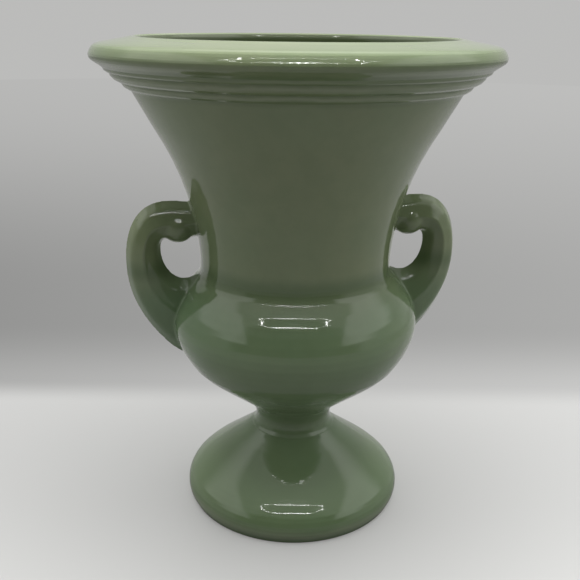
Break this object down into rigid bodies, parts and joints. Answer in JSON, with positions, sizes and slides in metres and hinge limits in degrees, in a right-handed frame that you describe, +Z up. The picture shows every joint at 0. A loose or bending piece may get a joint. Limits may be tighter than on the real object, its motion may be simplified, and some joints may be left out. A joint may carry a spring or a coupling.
{
  "type": "urn vase",
  "caption": "Handled urn vase in glossy sage-green glazed ceramic: hollow domed foot, waisted stem, round bowl, tall flared neck, turned rings below a rolled lip, and scroll handles.",
  "frame": {"origin": "centre of the ring that the foot stands on", "axes": "+Z up along the vase's turning axis; the handles lie along +X and -X"},
  "size_m": [0.192, 0.192, 0.24],
  "materials": {
    "sage_glaze": "glossy sage-green glaze, with a dry unglazed bearing ring under the foot",
    "glazed_slip": "clay slip in the joints, under the same glossy glaze where it shows"
  },
  "bodies": {
    "root": {"neck": "sage_glaze", "bowl": "sage_glaze", "stem": "sage_glaze", "foot": "sage_glaze", "handle_left": "sage_glaze", "handle_right": "sage_glaze", "neck_slip_seam": "glazed_slip", "stem_slip_seam": "glazed_slip", "foot_slip_seam": "glazed_slip", "scroll_slip_left": "glazed_slip", "scroll_slip_right": "glazed_slip", "root_slip_left": "glazed_slip", "root_slip_right": "glazed_slip"}
  },
  "joints": []
}
